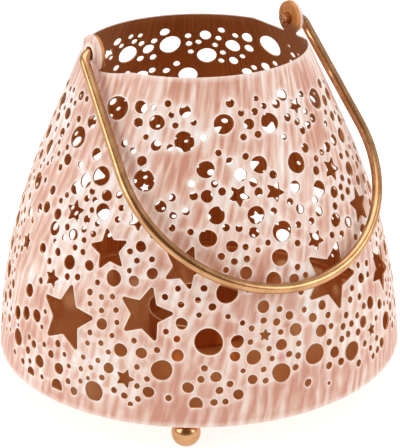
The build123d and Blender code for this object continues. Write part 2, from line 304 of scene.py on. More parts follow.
seen_margin = 0.3  # pixels
seen_shrinks = (1.0, 0.85, 0.7)  # sizes that are tried in turn where neighbours are close
behind_share = 0.85  # size of the small holes where they repeat at the back
hidden_sides = ((140, 172), (304, 326))  # degrees, where the photograph shows few holes to measure
hidden_zone = (6, 97)  # percent of the punched zone
# Holes that fill the hidden sides: least and greatest radius, gap to the next cut-out, tries
hidden_fill = ((2.4, 3.3, 2.0, 60), (1.5, 2.1, 1.6, 200), (0.85, 1.15, 1.3, 1200))

# Heights and profile of the wall
stand_height = foot_radius + sqrt(foot_radius**2 - foot_seat_radius**2)
mouth_z = stand_height + wall_height
pivot_z = mouth_z + ear_rise
plate_top = stand_height + plate_thickness
scoop_floor = mouth_z - scoop_depth
scoop_radius = (scoop_half_width**2 + scoop_depth**2) / (2 * scoop_depth)
knee_radius = rim_radius + cone_height * tan(lean)
knee_z = mouth_z - cone_height
cone_normal = (cos(lean), sin(lean))
fall = (base_radius - knee_radius, stand_height - knee_z)
fall_in = fall[0] * cone_normal[0] + fall[1] * cone_normal[1]
belly_radius = -(fall[0] ** 2 + fall[1] ** 2) / (2 * fall_in)
belly_centre = (knee_radius - belly_radius * cone_normal[0], knee_z - belly_radius * cone_normal[1])
belly_start = asin((stand_height - belly_centre[1]) / belly_radius)
belly_length = belly_radius * (lean - belly_start)
mouth_s = belly_length + cone_height / cos(lean)
zone_bottom = stand_height + plain_band_bottom
zone_height = wall_height - plain_band_bottom - plain_band_top


def wall_line(s):
    """Radius, height and slope of the wall's outside, by length up from the bottom edge."""
    s = np.asarray(s, float)
    turn = belly_start + np.minimum(s, belly_length) / belly_radius
    above = np.maximum(s - belly_length, 0)
    radius = belly_centre[0] + belly_radius * np.cos(turn) - above * sin(lean)
    height = belly_centre[1] + belly_radius * np.sin(turn) + above * cos(lean)
    return radius, height, turn


def length_at(z):
    """Length up at a height above the ground."""
    if z > knee_z:
        return belly_length + (z - knee_z) / cos(lean)
    return belly_radius * (asin((z - belly_centre[1]) / belly_radius) - belly_start)


def zone_s(percent):
    """Length up at a percentage of the punched zone."""
    return length_at(zone_bottom + zone_height * percent / 100)


scoop_s = length_at(scoop_floor)
ear_outside = float(wall_line(scoop_s)[0])
ear_centre_s = scoop_s + pivot_z - scoop_floor


def unit(vector):
    return vector / norm(vector)


def add_object(name, data):
    made = bpy.data.objects.new(name, data)
    bpy.context.scene.collection.objects.link(made)
    return made


def nearest_turn(theta):
    """The same turn, from minus to plus half a turn."""
    return (theta + pi) % full_turn - pi


def wrapped(theta):
    """The same turn, counted up from the seam."""
    return seam + (theta - seam) % full_turn


ear_turns = (wrapped(0.0), wrapped(pi))


def smooth(t):
    t = np.clip(t, 0, 1)
    return t * t * (3 - 2 * t)


def place(theta, s, out):
    """Points of the wall and its ears, by turn, length up and distance out."""
    radius, height, slope = wall_line(s)
    ear_out = ear_proud + np.where(out < 0, out * ear_sheet / wall_sheet, out)
    out = out - wall_sink
    reach = radius + out * np.cos(slope)
    points = np.stack([reach * np.cos(theta), reach * np.sin(theta), height + out * np.sin(slope)], -1)
    up = s - scoop_s
    for side, centre in ((1, 0), (-1, pi)):
        across = nearest_turn(theta - centre) * ear_outside
        share = smooth((up + ear_blend_drop) / ear_blend_rise)
        share = share * smooth((ear_blend_half_width - np.abs(across)) / ear_blend_fade)
        flat = np.stack([side * (ear_outside + ear_out), side * across, scoop_floor + up], -1)
        points = points + (flat - points) * share[..., None]
    return points


# Camera
camera_axes = Matrix.Rotation(radians(camera_turn), 4, "Z")
camera_axes = camera_axes @ Matrix.Rotation(radians(camera_tilt), 4, "X")
camera_axes = camera_axes @ Matrix.Rotation(radians(camera_roll), 4, "Z")
focal_pixels = camera_lens / camera_sensor * image_height


def make_camera():
    camera = add_object("camera", bpy.data.cameras.new("camera"))
    camera.matrix_world = Matrix.Translation(Vector(camera_place) * MM) @ camera_axes
    camera.data.lens = camera_lens
    camera.data.sensor_width = camera_sensor
    camera.data.clip_start = 0.01
    camera.data.clip_end = 50
    bpy.context.scene.camera = camera


make_camera()


def wall_under(x, y, far):
    """Turn, length up and pixels per mm where an image point's sight line meets the wall."""
    aim = camera_axes.to_3x3() @ Vector((x - image_width / 2, image_height / 2 - y, -focal_pixels))
    aim.normalize()
    reach = np.linspace(*sight_range, sight_steps)
    path = np.array(camera_place)[None, :] + reach[:, None] * np.array(aim)[None, :]
    lengths = np.linspace(0, mouth_s, profile_steps)
    radii, heights, _ = wall_line(lengths)
    wall_radii = np.interp(path[:, 2], heights, radii, left=beyond_profile, right=beyond_profile)
    inside = np.nonzero(np.hypot(path[:, 0], path[:, 1]) < wall_radii)[0]
    step = inside[-1 if far else 0]
    hit = path[step]
    return atan2(hit[1], hit[0]), float(np.interp(hit[2], heights, lengths)), focal_pixels / reach[step]


# Outlines of the cut-outs
def rounded_outline(corners, radii, step):
    """Points and normals of an outline with rounded corners, counter-clockwise."""
    count = len(corners)
    bends = []
    for i in range(count):
        here = np.array(corners[i])
        back = unit(np.array(corners[i - 1]) - here)
        ahead = unit(np.array(corners[(i + 1) % count]) - here)
        half = acos(max(-1, min(1, float(back @ ahead)))) / 2
        centre = here + unit(back + ahead) * radii[i] / sin(half)
        cut = radii[i] / tan(half)
        outer = float(-back[0] * ahead[1] + back[1] * ahead[0]) > 0
        bends.append((here + back * cut, here + ahead * cut, centre, radii[i], outer))
    points, normals = [], []
    for i in range(count):
        start, end, centre, radius, outer = bends[i]
        first = (start - centre) / radius
        last = (end - centre) / radius
        for k in range(bend_points):
            ray = unit(first * (bend_points - 1 - k) + last * k)
            points.append(centre + ray * radius)
            normals.append(ray if outer else -ray)
        run = bends[(i + 1) % count][0] - end
        size = norm(run)
        parts = max(1, int(size / step))
        for k in range(1, parts):
            points.append(end + run * k / parts)
            normals.append(np.array([run[1], -run[0]]) / size)
    return np.array(points), np.array(normals)


def star_outline(radius, tilt, lip):
    """A star, rounded off at the radius."""
    tip = tip_round[1] * radius + tip_round[0]
    corner_turn = full_turn / star_corners
    tip_half = atan2(star_waist * sin(corner_turn), 1 - star_waist * cos(corner_turn))
    point = radius + tip * (1 / sin(tip_half) - 1)
    corners, radii = [], []
    for corner in range(star_corners):
        pointed = corner % 2 == 0
        reach = point if pointed else point * star_waist
        turn = radians(90 + tilt + 360 / star_corners * corner)
        corners.append((reach * cos(turn), reach * sin(turn)))
        radii.append(tip if pointed else waist_round * lip)
    return rounded_outline(corners, radii, star_step)


def round_outline(radius, sides, rng):
    """A round hole, a little uneven."""
    turn = np.arange(sides) * full_turn / sides
    oval = np.sin(2 * turn + rng.uniform(0, phase_range))
    lobes = np.sin(3 * turn + rng.uniform(0, phase_range))
    wobble = 1 + oval_share * oval + lobe_share * lobes
    ray = np.stack([np.cos(turn), np.sin(turn)], -1)
    return ray * (radius * wobble)[:, None], ray


class Hole:
    """A cut-out and the lip around it."""

    def __init__(self, kind, theta, s, radius, outline, lip, lift):
        self.kind = kind
        self.theta = theta
        self.s = s
        self.radius = radius
        self.points, self.normals = outline
        self.lip = lip
        self.lift = lift

    def ring(self, offset):
        """The outline moved out into the sheet."""
        moved = self.points + self.normals * offset
        s = self.s + moved[:, 1]
        wide = ear_outside if self.kind == "ear" else wall_line(s)[0]
        return self.theta + moved[:, 0] / wide, s


# Layout of the cut-outs
rng = random.Random(11)
holes = []


def zone_edges(theta):
    """Straight lower and upper edge of the punched zone."""
    angle = degrees(theta) % pattern_turn + pattern_turn
    return zone_s(np.interp(angle, zone_foot_angles, zone_foot_percents)), zone_s(zone_top_percent)


def add_star(theta, s, radius, tilt):
    lip = star_lip[0] + star_lip[1] * radius
    holes.append(Hole("star", wrapped(theta), s, radius, star_outline(radius, tilt, lip), lip, star_lift))


def add_round(theta, s, radius):
    """Adds a round cut-out, cut off at the zone's edges, unless little of it is left."""
    sides = max(fewest_sides, min(most_sides, int(round_sides[0] + radius * round_sides[1])))
    points, normals = round_outline(radius, sides, rng)
    low, high = zone_edges(theta)
    below = points[:, 1] < low - s
    above = points[:, 1] > high - s
    points[:, 1] = np.clip(points[:, 1], low - s, high - s)
    if np.ptp(points[:, 1]) < radius:
        return
    normals[below] = (0, -1)
    normals[above] = (0, 1)
    lip = round_lip[0] + round_lip[1] * min(radius, round_lip_limit)
    lift = round_lift[0] + round_lift[1] * radius
    holes.append(Hole("round", wrapped(theta), s, radius, (points, normals), lip, lift))


def room(theta, s, radius, gap):
    """True where a hole leaves a gap to every other one and keeps off the seam."""
    theta = wrapped(theta)
    wide = float(wall_line(s)[0])
    if min(theta - seam, seam + full_turn - theta) * wide < radius + seam_margin:
        return False
    for hole in holes:
        off = np.array([nearest_turn(theta - hole.theta) * wide, s - hole.s])
        far = hypot(off[0], off[1])
        if far > radius + hole.radius + gap:
            continue
        if hole.kind == "round" or far < hole.radius * star_waist:
            return False
        if np.min(norm(hole.points - off, axis=1)) < radius + gap:
            return False
    return True


def add_seen(x, y, pixels, far):
    """Adds a hole where the photograph shows one, smaller where others are close."""
    theta, s, scale = wall_under(x, y, far)
    for shrink in seen_shrinks:
        radius = (pixels * seen_growth + seen_margin) * shrink / scale
        if room(theta, s, radius, least_web):
            add_round(theta, s, radius)
            return theta, s, radius
    return None


def seen_through_mouth(theta, s):
    """True where the far wall has listed holes of its own."""
    return far_view[0] < degrees(theta) % 360 < far_view[1] and s > zone_s(far_view_low)


def add_listed_holes():
    """The cut-outs that are listed by angle and height."""
    for half in (0, half_turn):
        for angle, percent, radius, tilt in stars + small_stars:
            add_star(radians(angle) + half, zone_s(percent), radius, tilt)
        for angle, percent, radius in rounds:
            add_round(radians(angle) + half, zone_s(percent), radius)
    for angle, percent, radius in mouth_rounds:
        add_round(radians(angle), zone_s(percent), radius)


def add_seen_holes():
    """The small holes listed by image point, and the front's again at the back."""
    for x, y, pixels in far_holes:
        add_seen(x, y, pixels, True)
    for x, y, pixels in seen_upper_left + seen_lower_left + seen_upper_right + seen_lower_right:
        made = add_seen(x, y, pixels, False)
        if made is None:
            continue
        theta, s, radius = made
        behind = theta + half_turn
        radius = radius * behind_share
        if not seen_through_mouth(behind, s) and room(behind, s, radius, least_web):
            add_round(behind, s, radius)


def fill_hidden_sides():
    """Holes at random on the sides that the photograph hides."""
    low_s, high_s = [zone_s(percent) for percent in hidden_zone]
    for radius_low, radius_high, gap, tries in hidden_fill:
        for _ in range(tries):
            theta = radians(rng.uniform(*rng.choice(hidden_sides)))
            s = rng.uniform(low_s, high_s)
            radius = rng.uniform(radius_low, radius_high)
            behind = theta + half_turn
            if room(theta, s, radius, gap) and room(behind, s, radius, gap):
                add_round(theta, s, radius)
                add_round(behind, s, radius)


def web_between(one, other):
    wide = float(wall_line((one.s + other.s) / 2)[0])
    moved = other.points + np.array([nearest_turn(other.theta - one.theta) * wide, other.s - one.s])
    return float(norm(one.points[:, None, :] - moved[None, :, :], axis=2).min())


def narrow_lips():
    """Keeps the lips of neighbours apart."""
    for number, one in enumerate(holes):
        wide = float(wall_line(one.s)[0])
        for other in holes[:number]:
            near = one.radius + other.radius + lip_reach
            if abs(one.s - other.s) > near or abs(nearest_turn(other.theta - one.theta)) * wide > near:
                continue
            web = web_between(one, other)
            one.lip = min(one.lip, lip_share * web)
            other.lip = min(other.lip, lip_share * web)


def add_ear_holes():
    """The pivot holes in the ears, each with a raised collar."""
    for theta in ear_turns:
        outline = round_outline(ear_hole_radius, ear_hole_sides, random.Random(1))
        holes.append(Hole("ear", theta, ear_centre_s, ear_hole_radius, outline, ear_collar, ear_collar_lift))


half_turn = radians(pattern_turn)
add_listed_holes()
add_seen_holes()
fill_hidden_sides()
narrow_lips()
add_ear_holes()


# Free edges of the sheet: turn, length up and outward direction of their points
def rim_s(theta):
    """Length up of the rim, which dips beside each ear."""
    across = abs(sin(theta)) * rim_radius
    if across >= scoop_half_width:
        return mouth_s
    rise = scoop_radius - sqrt(scoop_radius**2 - across**2)
    return mouth_s - (scoop_depth - rise) / cos(lean)


def ear_loop(middle):
    edge = ear_radius - edge_round
    neck = asin(ear_neck_half / edge)
    loop = []
    for step in range(ear_steps + 1):
        angle = radians(270) - neck - (full_turn - 2 * neck) * step / ear_steps
        x = edge * cos(angle)
        y = pivot_z - scoop_floor + edge * sin(angle)
        loop.append((middle + x / ear_outside, scoop_s + y, cos(angle), sin(angle)))
    return loop


def rim_loop():
    loop = []
    ears_ahead = sorted(ear_turns)
    neck_reach = ear_neck_half + ear_neck_margin
    for step in range(rim_steps + 1):
        theta = seam + full_turn * step / rim_steps
        if any(abs(theta - middle) * ear_outside <= neck_reach for middle in ear_turns):
            continue
        if ears_ahead and theta > ears_ahead[0]:
            loop += ear_loop(ears_ahead.pop(0))
        loop.append((theta, rim_s(theta), 0.0, 1.0))
    return np.array(loop)


def bottom_loop():
    return np.array([(seam + full_turn * k / bottom_steps, 0.0, 0.0, -1.0) for k in range(bottom_steps + 1)])


# Mesh of the wall: an outside and an inside, joined through the edge of every cut-out
outside_slot = 0
inside_slot = 1
# The lip's two innermost strips take the inside's brown: the cut edge's own colour, carried onto the lip's
# bevel as a painted shade that outlines each cut-out
ring_slots = (outside_slot, outside_slot, inside_slot, inside_slot)


class Skin:
    """Points and faces of the wall while it is put together."""

    def __init__(self):
        self.rows = []
        self.count = 0
        self.faces = []
        self.slots = []
        self.same_as = {}

    def add_points(self, theta, s, out, pale):
        row = np.stack(np.broadcast_arrays(*[np.asarray(v, float) for v in (theta, s, out, pale)]))
        self.rows.append(row)
        self.count += row.shape[1]
        return np.arange(self.count - row.shape[1], self.count)

    def columns(self):
        return np.concatenate(self.rows, axis=1)

    def strip(self, first, second, closed, slot, plain=()):
        """Quads between two rows; those between plain points have the outside's material."""
        count = len(first)
        for i in range(count if closed else count - 1):
            j = (i + 1) % count
            self.faces.append((int(first[i]), int(first[j]), int(second[j]), int(second[i])))
            self.slots.append(outside_slot if len(plain) and plain[i] and plain[j] else slot)

    def number(self, point):
        return self.same_as.get(point, point)

    def join(self, kept, dropped):
        self.same_as.update({int(b): int(a) for a, b in zip(kept, dropped)})


skin = Skin()


def add_lip(hole):
    """Lip and edge of a cut-out; returns its first and last ring."""
    rings = []
    for share, lift, pale in lip_rings:
        theta, s = hole.ring(hole.lip * share)
        rings.append(skin.add_points(theta, s, hole.lift * lift, pale))
    theta, s = hole.ring(0.0)
    rings.append(skin.add_points(theta, s, -wall_sheet, 0.0))
    for first, second, slot in zip(rings[:-1], rings[1:], ring_slots):
        skin.strip(first, second, True, slot)
    return rings[0], rings[-1]


def add_edge(loop, upper):
    """Rounded free edge of the sheet; returns its rows of points."""
    theta, s, across, along = loop.T
    plain = across == 0.0
    turned = theta + across * edge_round / ear_outside
    outer = skin.add_points(theta, s, 0.0, np.where(plain, plain_edge_pale, ear_edge_pale))
    middle = skin.add_points(turned, s + along * edge_round, -wall_sheet / 2, 1.0)
    inner = skin.add_points(theta, s, -wall_sheet, np.where(plain, plain_edge_pale, ear_back_pale))
    if upper:
        skin.strip(outer, middle, False, outside_slot)
        skin.strip(middle, inner, False, inside_slot, plain)
    else:
        skin.strip(middle, outer, False, outside_slot)
        skin.strip(inner, middle, False, inside_slot)
    return outer, middle, inner


def encloses(x, y, x_at, y_at):
    """True for a point inside a closed loop."""
    x_next, y_next = np.roll(x, -1), np.roll(y, -1)
    level = (y > y_at) != (y_next > y_at)
    rise = np.where(level, y_next - y, 1.0)
    crossing = x + (y_at - y) / rise * (x_next - x)
    return np.count_nonzero(level & (crossing > x_at)) % 2 == 1


def fill_points(spacing, clear):
    """Loose grid of points, clear of every cut-out and edge."""
    spread = random.Random(5)
    shift = grid_shift * spacing
    margin = grid_margin * spacing
    rows = int(mouth_s / spacing)
    found = []
    for row in range(1, rows):
        s = mouth_s * row / rows
        columns = int(full_turn * float(wall_line(s)[0]) / spacing)
        for column in range(columns):
            theta = seam + full_turn * (column + 0.5 * (row % 2) + grid_start) / columns
            theta = theta + spread.uniform(-shift, shift) / flat_radius
            found.append((theta, s + spread.uniform(-shift, shift)))
    theta, s = np.array(found).T
    wide = wall_line(s)[0]
    keep = np.minimum(theta - seam, seam + full_turn - theta) * wide > margin
    keep &= s > margin
    keep &= s < np.array([rim_s(t) for t in theta]) - margin
    for hole in holes:
        reach = hole.radius + clear + 1
        near = keep & (np.abs(s - hole.s) < reach) & (np.abs(theta - hole.theta) * wide < reach)
        index = np.nonzero(near)[0]
        if len(index) == 0:
            continue
        off = np.stack([(theta[index] - hole.theta) * wide[index], s[index] - hole.s], -1)
        if hole.kind == "star":
            gaps = norm(off[:, None, :] - hole.points[None, :, :], axis=2).min(1)
            inside = np.array([encloses(*hole.points.T, *point) for point in off])
            keep[index[(gaps < clear) | inside]] = False
        else:
            keep[index[norm(off, axis=1) < hole.radius + clear]] = False
    return theta[keep], s[keep]


def triangulate(loops, chains, fill):
    """Triangles between the cut-outs (loops) and the outer edges (chains)."""
    theta, s = skin.columns()[:2]
    numbers = np.unique(np.concatenate([*loops, *chains, fill]))
    seat = {int(n): i for i, n in enumerate(numbers)}
    coords = [Vector(((theta[n] - seam) * flat_radius, s[n])) for n in numbers]
    edges = []
    for loop in loops:
        edges += [(seat[int(a)], seat[int(b)]) for a, b in zip(loop, np.roll(loop, -1))]
    for chain in chains:
        edges += [(seat[int(a)], seat[int(b)]) for a, b in zip(chain[:-1], chain[1:])]
    _, _, made_faces, made_from, _, _ = delaunay_2d_cdt(coords, edges, [], 1, same_point)
    origin = [sources[0] if sources else -1 for sources in made_from]
    owner = {int(n): k for k, loop in enumerate(loops) for n in loop}
    triangles = []
    for face in made_faces:
        if any(origin[i] < 0 for i in face):
            continue
        corners = [int(numbers[origin[i]]) for i in face]
        owners = {owner.get(c, -1) for c in corners}
        if len(owners) == 1 and -1 not in owners:
            loop = loops[owners.pop()]
            if encloses(theta[loop], s[loop], np.mean(theta[corners]), np.mean(s[corners])):
                continue
        triangles.append(corners)
    return triangles


def add_side(out, loops, bottom, rim, spacing, clear):
    """Triangles of one side of the sheet."""
    rim_at_seam = float(skin.columns()[1, rim[0]])
    rows = np.linspace(0, rim_at_seam, seam_steps)[1:-1]
    left = skin.add_points(np.full(len(rows), seam), rows, out, 0.0)
    right = skin.add_points(np.full(len(rows), seam + full_turn), rows, out, 0.0)
    skin.join(left, right)
    theta, s = fill_points(spacing, clear)
    fill = skin.add_points(theta, s, out, 0.0)
    left_chain = np.concatenate([bottom[:1], left, rim[:1]])
    right_chain = np.concatenate([bottom[-1:], right, rim[-1:]])
    return triangulate(loops, [bottom, left_chain, right_chain, rim], fill)


def halo_near_holes(theta, s):
    """1 at a cut-out's edge, 0 a little way off."""
    found = np.zeros(len(theta))
    wide = wall_line(s)[0]
    for hole in holes:
        across = (theta - hole.theta) * wide
        up = s - hole.s
        reach = hole.radius + halo_width
        near = np.nonzero((np.abs(across) < reach) & (np.abs(up) < reach))[0]
        off = np.stack([across[near], up[near]], -1)
        gap = norm(off[:, None, :] - hole.points[None, :, :], axis=2).min(1)
        found[near] = np.maximum(found[near], 1 - np.minimum(gap / halo_width, 1))
    return found


# Strokes of the wash: they lean, more on the left than on the right, and are set out from the front
stroke_front = radians(238)
stroke_lean = 0.0042  # radians per mm up
stroke_lean_swing = 0.0012
stroke_lengths = (0, 40, 160)  # mm up along the wall
stroke_rises = (-40, -20, 100)  # they lean less near the bottom edge


def wash_place(theta, s, out):
    """Coordinates of the wash: across the strokes, up and out."""
    slant = stroke_lean + stroke_lean_swing * np.cos(theta - pi)
    slant = np.where(out > -wall_sheet, slant, 0.0)
    turn = nearest_turn(theta - stroke_front)
    half_wider = (wall_line(s)[0] - flat_radius) / 2
    across = flat_radius * turn + half_wider * np.sin(turn)
    across = across - slant * np.interp(s, stroke_lengths, stroke_rises) * (flat_radius + half_wider)
    return np.stack([across, s, out], -1)


def make_piece(name, points, faces, crease):
    """A smoothly shaded piece from points in mm."""
    mesh = bpy.data.meshes.new(name)
    mesh.from_pydata([tuple(point) for point in np.array(points) * MM], [], faces)
    mesh.polygons.foreach_set("use_smooth", np.ones(len(faces), bool))
    mesh.update()
    mesh.set_sharp_from_angle(angle=radians(crease))
    return add_object(name, mesh)


def set_corner_values(mesh, name, kind, field, values):
    """Values for a material to read."""
    mesh.attributes.new(name, kind, "CORNER").data.foreach_set(field, values.astype(np.float32).ravel())


def make_wall():
    """The punched wall with its ears."""
    outer_loops, inner_loops = zip(*[add_lip(hole) for hole in holes])
    rim = add_edge(rim_loop(), True)
    bottom = add_edge(bottom_loop(), False)
    for triangle in add_side(0.0, outer_loops, bottom[0], rim[0], outer_spacing, outer_clear):
        skin.faces.append(tuple(triangle))
        skin.slots.append(outside_slot)
    for triangle in add_side(-wall_sheet, inner_loops, bottom[2], rim[2], inner_spacing, inner_clear):
        skin.faces.append(tuple(reversed(triangle)))
        skin.slots.append(inside_slot)
    for row in rim + bottom:
        skin.join(row[:1], row[-1:])
    theta, s, out, pale = skin.columns()
    used = sorted({skin.number(n) for face in skin.faces for n in face})
    place_in_mesh = {n: i for i, n in enumerate(used)}
    faces = [[place_in_mesh[skin.number(n)] for n in face] for face in skin.faces]
    wall = make_piece("wall", place(theta, s, out)[used], faces, wall_crease)
    wall.data.polygons.foreach_set("material_index", np.array(skin.slots, np.int32))
    corners = np.array([n for face in skin.faces for n in face])
    set_corner_values(wall.data, "wash", "FLOAT_VECTOR", "vector", wash_place(theta, s, out)[corners])
    set_corner_values(wall.data, "edge", "FLOAT", "value", pale[corners])
    set_corner_values(wall.data, "halo", "FLOAT", "value", halo_near_holes(theta, s)[corners])
    return wall


# Turned pieces: base plate, candle cup and feet
def lathe(name, profile, sides, centre=(0, 0)):
    """Turned body; its profile of radius and height starts and ends on the axis."""
    inner = profile[1:-1]
    points = [(centre[0], centre[1], profile[0][1])]
    for radius, height in inner:
        for k in range(sides):
            turn = full_turn * k / sides
            points.append((centre[0] + radius * cos(turn), centre[1] + radius * sin(turn), height))
    points.append((centre[0], centre[1], profile[-1][1]))
    last = len(points) - 1
    faces = []
    for k in range(sides):
        j = (k + 1) % sides
        faces.append((0, 1 + j, 1 + k))
        for row in range(len(inner) - 1):
            low = 1 + row * sides
            high = low + sides
            faces.append((low + k, low + j, high + j, high + k))
        top = 1 + (len(inner) - 1) * sides
        faces.append((top + k, top + j, last))
    return make_piece(name, points, faces, turned_crease)


def arc(centre, radius, first, last, count):
    """Arc of a profile, in degrees."""
    turns = [radians(first + (last - first) * k / (count - 1)) for k in range(count)]
    return [(centre[0] + radius * cos(t), centre[1] + radius * sin(t)) for t in turns]


def make_plate():
    """Floor plate with a low flange turned up inside the wall."""
    bead = flange_sheet / 2
    fillet_radius = plate_radius - flange_sheet - flange_fillet
    profile = [(0, stand_height), (plate_under_ring, stand_height)]
    edge_centre = (plate_radius - plate_edge_round, stand_height + plate_edge_round)
    profile += arc(edge_centre, plate_edge_round, -90, 0, 5)
    profile += arc((plate_radius - bead, plate_top + flange_height - bead), bead, 0, 180, 6)
    profile += arc((fillet_radius, plate_top + flange_fillet), flange_fillet, 0, -90, 5)
    profile += [(radius, plate_top) for radius in plate_top_rings]
    return lathe("floor_plate", profile + [(0, plate_top)], plate_sides)


cup_rim = plate_top + cup_height


def make_cup():
    """Low cup for a tealight, with a rolled rim."""
    outside = cup_bore_radius + cup_sheet
    floor = plate_top + cup_sheet
    profile = [(0, plate_top)]
    profile += arc((outside - cup_edge_round, plate_top + cup_edge_round), cup_edge_round, -90, 0, 4)
    profile += [(outside, cup_rim - cup_bead_drop)]
    profile += arc((outside - cup_bead_inset, cup_rim - cup_bead_radius), cup_bead_radius, -60, 180, 10)
    profile += arc((cup_bore_radius - cup_floor_round, floor + cup_floor_round), cup_floor_round, 0, -90, 5)
    return lathe("candle_cup", profile + [(0, floor)], cup_sides)


def make_foot(number):
    """Ball foot with a low collar of braze under the plate."""
    turn = radians(foot_first_angle + 360 / foot_count * number)
    reach = base_radius - foot_margin - foot_radius
    neck = degrees(acos(foot_neck_radius / foot_radius))
    profile = [(0, 0)]
    profile += arc((0, foot_radius), foot_radius, foot_start, neck, foot_rings)
    profile += [(braze_radius - braze_slope, stand_height - braze_height), (braze_radius, stand_height)]
    centre = (reach * cos(turn), reach * sin(turn))
    return lathe(f"ball_foot_{number + 1}", profile + [(0, stand_height)], foot_sides, centre)


# Bail: the wire's centre line in its own plane, then a round section along it
leg_start = np.array([ear_outside + bail_leg_offset, 0.0])
leg_turn = asin(bail_round_radius / hypot(leg_start[0], bail_drop))
leg_turn = leg_turn - atan2(leg_start[0], bail_drop)
round_centre = np.array([0.0, bail_drop])
leg_end = round_centre + bail_round_radius * np.array([cos(leg_turn), -sin(leg_turn)])
leg_line = unit(leg_end - leg_start)
stub_line = np.array([-1.0, 0.0])
bend_half = acos(float(stub_line @ leg_line)) / 2
bend_cut = wire_bend / tan(bend_half)
bend_centre = leg_start + unit(stub_line + leg_line) * wire_bend / sin(bend_half)


def half_bail(stub_reach):
    """Centre line from the wire's end to the middle of the bail, in the bail's own plane."""
    stub_end = np.array([ear_outside - solid_sheet - stub_reach, 0.0])
    bend_start = leg_start + stub_line * bend_cut
    bend_end = leg_start + leg_line * bend_cut
    found = [stub_end + (bend_start - stub_end) * k / stub_steps for k in range(stub_steps)]
    for k in range(bend_steps + 1):
        ray = (bend_start - bend_centre) * (bend_steps - k) + (bend_end - bend_centre) * k
        found.append(bend_centre + unit(ray) * wire_bend)
    leg_from = found[-1]
    found += [leg_from + (leg_end - leg_from) * k / leg_steps for k in range(1, leg_steps)]
    for k in range(round_steps + 1):
        turn = -leg_turn + (pi / 2 + leg_turn) * k / round_steps
        found.append(round_centre + bail_round_radius * np.array([cos(turn), sin(turn)]))
    return found


def make_bail():
    """The bent wire, with both its ends turned in through the ears."""
    left_half = half_bail(left_stub_reach)
    flat = np.array(half_bail(right_stub_reach) + [p * (-1, 1) for p in reversed(left_half[:-1])])
    side = np.array([1.0, 0.0, 0.0])
    down = np.array([0.0, -sin(bail_swing), -cos(bail_swing)])
    face_out = np.cross(side, down)
    line = np.array([0.0, 0.0, pivot_z]) + flat[:, :1] * side + flat[:, 1:] * down
    along = np.gradient(line, axis=0)
    along = along / norm(along, axis=1)[:, None]
    across = np.cross(np.broadcast_to(face_out, along.shape), along)
    centres = np.concatenate([line[:1], line, line[-1:]])
    centres[1] += along[0] * wire_end_trim
    centres[-2] -= along[-1] * wire_end_trim
    sideways = np.concatenate([across[:1], across, across[-1:]])
    radii = np.full(len(centres), wire_radius)
    radii[[0, -1]] -= wire_end_trim
    points = []
    for centre, sideway, radius in zip(centres, sideways, radii):
        for k in range(wire_sides):
            turn = full_turn * k / wire_sides
            points.append(centre + (sideway * cos(turn) + face_out * sin(turn)) * radius)
    faces = []
    last = (len(centres) - 1) * wire_sides
    for row in range(0, last, wire_sides):
        for k in range(wire_sides):
            j = (k + 1) % wire_sides
            faces.append((row + j, row + wire_sides + j, row + wire_sides + k, row + k))
    faces.append(tuple(reversed(range(wire_sides))))
    faces.append(tuple(range(last, last + wire_sides)))
    return make_piece("bail_wire", points, faces, wire_crease)


# Materials
def linear(red, green, blue):
    """Linear colour from the 0 to 255 values of a picture."""
    found = []
    for value in (red, green, blue):
        value = value / 255
        found.append(value / 12.92 if value <= 0.04045 else ((value + 0.055) / 1.055) ** 2.4)
    return (*found, 1.0)


class Nodes:
    """Node tree of a material or of the world."""

    def __init__(self, owner, shader="Principled BSDF"):
        self.owner = owner
        owner.use_nodes = True
        self.tree = owner.node_tree
        self.shader = self.tree.nodes[shader]

    def add(self, kind, values=None, **settings):
        node = self.tree.nodes.new(kind)
        for key, value in settings.items():
            setattr(node, key, value)
        for key, value in (values or {}).items():
            self.put(value, node.inputs[key])
        return node

    def put(self, value, socket):
        if isinstance(value, bpy.types.NodeSocket):
            self.tree.links.new(value, socket)
        else:
            socket.default_value = value

    def math(self, operation, first, second=0.0, third=0.0):
        return self.add("ShaderNodeMath", {0: first, 1: second, 2: third}, operation=operation).outputs[0]

    def attribute(self, name, output):
        return self.add("ShaderNodeAttribute", attribute_name=name).outputs[output]

    def part(self, vector, axis):
        return self.add("ShaderNodeSeparateXYZ", {0: vector}).outputs[axis]

    def noise(self, vector, scale=1.0, detail=2.0, distortion=0.0):
        values = {"Vector": vector, "Scale": scale, "Detail": detail, "Distortion": distortion}
        return self.add("ShaderNodeTexNoise", values).outputs[0]

    def between(self, value, start, end, at_start=0.0, at_end=1.0):
        """Runs between two numbers."""
        values = {0: value, 1: start, 2: end, 3: at_start, 4: at_end}
        return self.add("ShaderNodeMapRange", values).outputs[0]

    def ramp(self, factor, stops):
        """Colour by a factor, from stops of position and colour, either 0 to 255 or linear."""
        node = self.add("ShaderNodeValToRGB", {0: factor})
        elements = node.color_ramp.elements
        while len(elements) < len(stops):
            elements.new(0.5)
        for element, (position, colour) in zip(elements, stops):
            element.position = position
            element.color = colour if len(colour) == 4 else linear(*colour)
        return node.outputs[0]

    def mix(self, factor, first, second):
        node = self.add("ShaderNodeMix", {0: factor, 6: first, 7: second}, data_type="RGBA")
        return node.outputs[2]

    def scaled(self, vector, factors):
        return self.add("ShaderNodeVectorMath", {0: vector, 1: factors}, operation="MULTIPLY").outputs[0]

    def bump(self, height, distance, strength):
        values = {"Height": height, "Distance": distance, "Strength": strength}
        return self.add("ShaderNodeBump", values).outputs[0]

    def finish(self, **values):
        """Sets or links the shader's own sockets."""
        for key, value in values.items():
            self.put(value, self.shader.inputs[key.replace("_", " ")])
        return self.owner


def new_material(name):
    return Nodes(bpy.data.materials.new(name))


